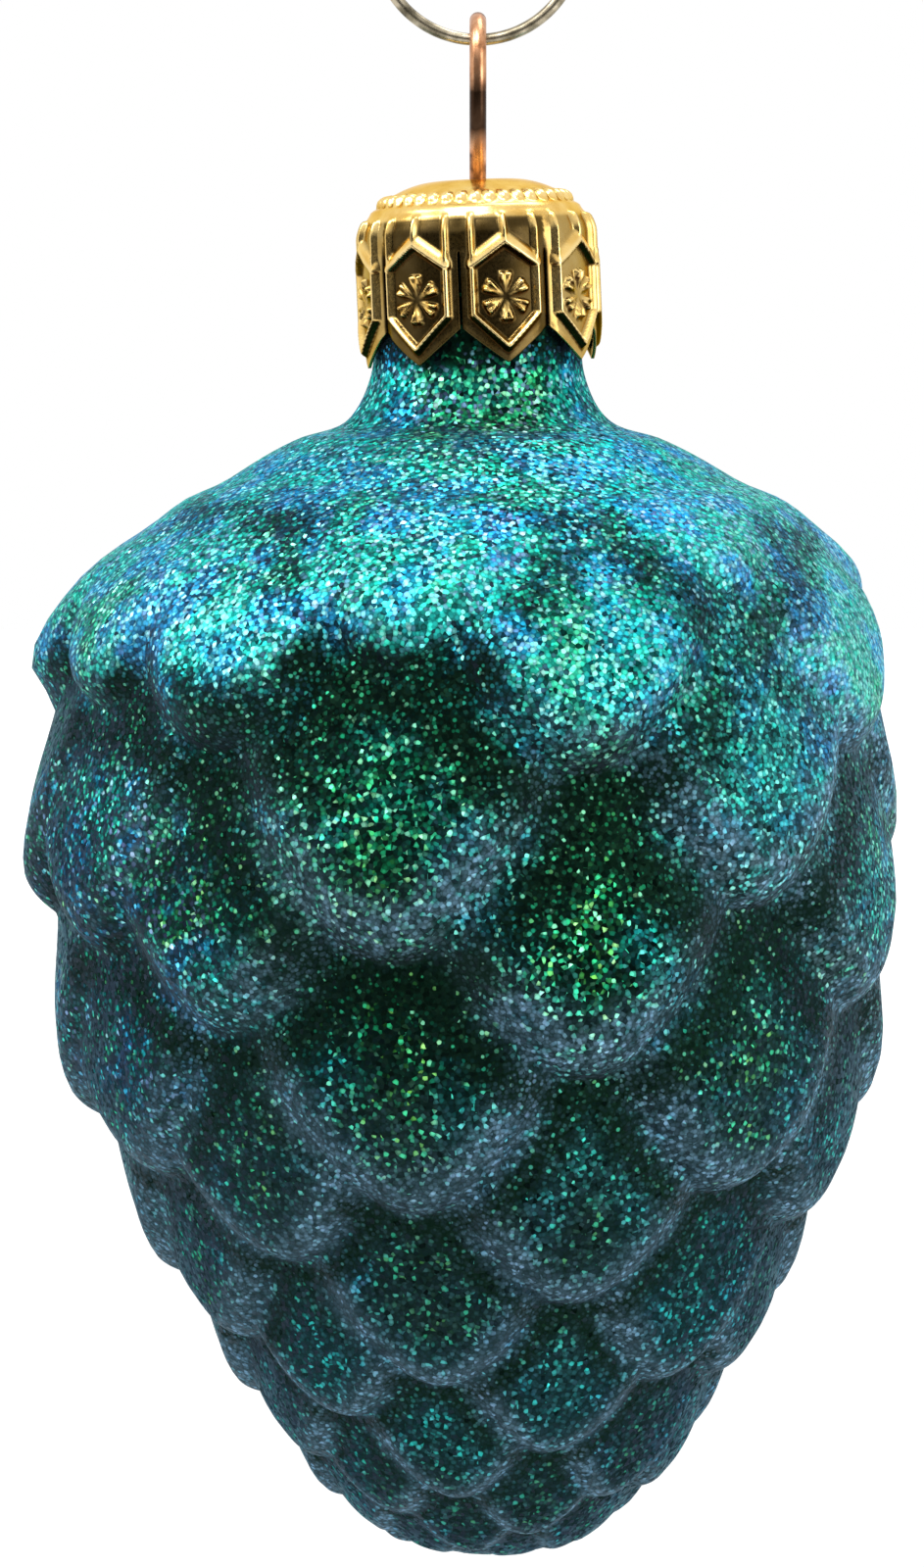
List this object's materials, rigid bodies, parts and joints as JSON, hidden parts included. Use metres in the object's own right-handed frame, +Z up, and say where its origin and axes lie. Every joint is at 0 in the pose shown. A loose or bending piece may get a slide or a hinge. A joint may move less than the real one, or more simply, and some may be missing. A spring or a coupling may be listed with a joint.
{
  "type": "pine cone ornament",
  "caption": "Blown-glass pine cone tree ornament with overlapping scales, an embossed crown cap, a spring wire hanger and a hanging ring.",
  "frame": {"origin": "inside top of the hanging ring, where a hook or twig carries the ornament", "axes": "+Z up along the line it hangs on, -Y towards the front that the picture shows, +X to the viewer's right"},
  "size_m": [0.0557, 0.0554, 0.1095],
  "materials": {
    "ring_wire": "smooth drawn wire, antique brass",
    "hanger_wire": "smooth drawn spring wire, copper coloured",
    "cap": "thin pressed sheet, bright gold",
    "glitter_glass": "silvered inside and covered with very fine green, teal and blue glitter outside, opaque"
  },
  "bodies": {
    "ring": {"hanging_ring": "ring_wire"},
    "hanger": {"hanger_wire": "hanger_wire"},
    "cap": {"crown_cap": "cap"},
    "glass": {"glass_cone": "glitter_glass"}
  },
  "joints": [
    {"name": "hanger_swing", "type": "hinge", "parent": "ring", "child": "hanger", "pos_m": [0, 0, -0.01237], "axis": [1, 0, 0], "range_deg": [-90, 90]},
    {"name": "cap_turn", "type": "hinge", "parent": "hanger", "child": "cap", "pos_m": [0, 0, -0.02113], "axis": [0, 0, 1], "continuous": true},
    {"name": "glass_pull", "type": "slide", "parent": "cap", "child": "glass", "axis": [0, 0, -1], "range_m": [0, 0.016]}
  ]
}
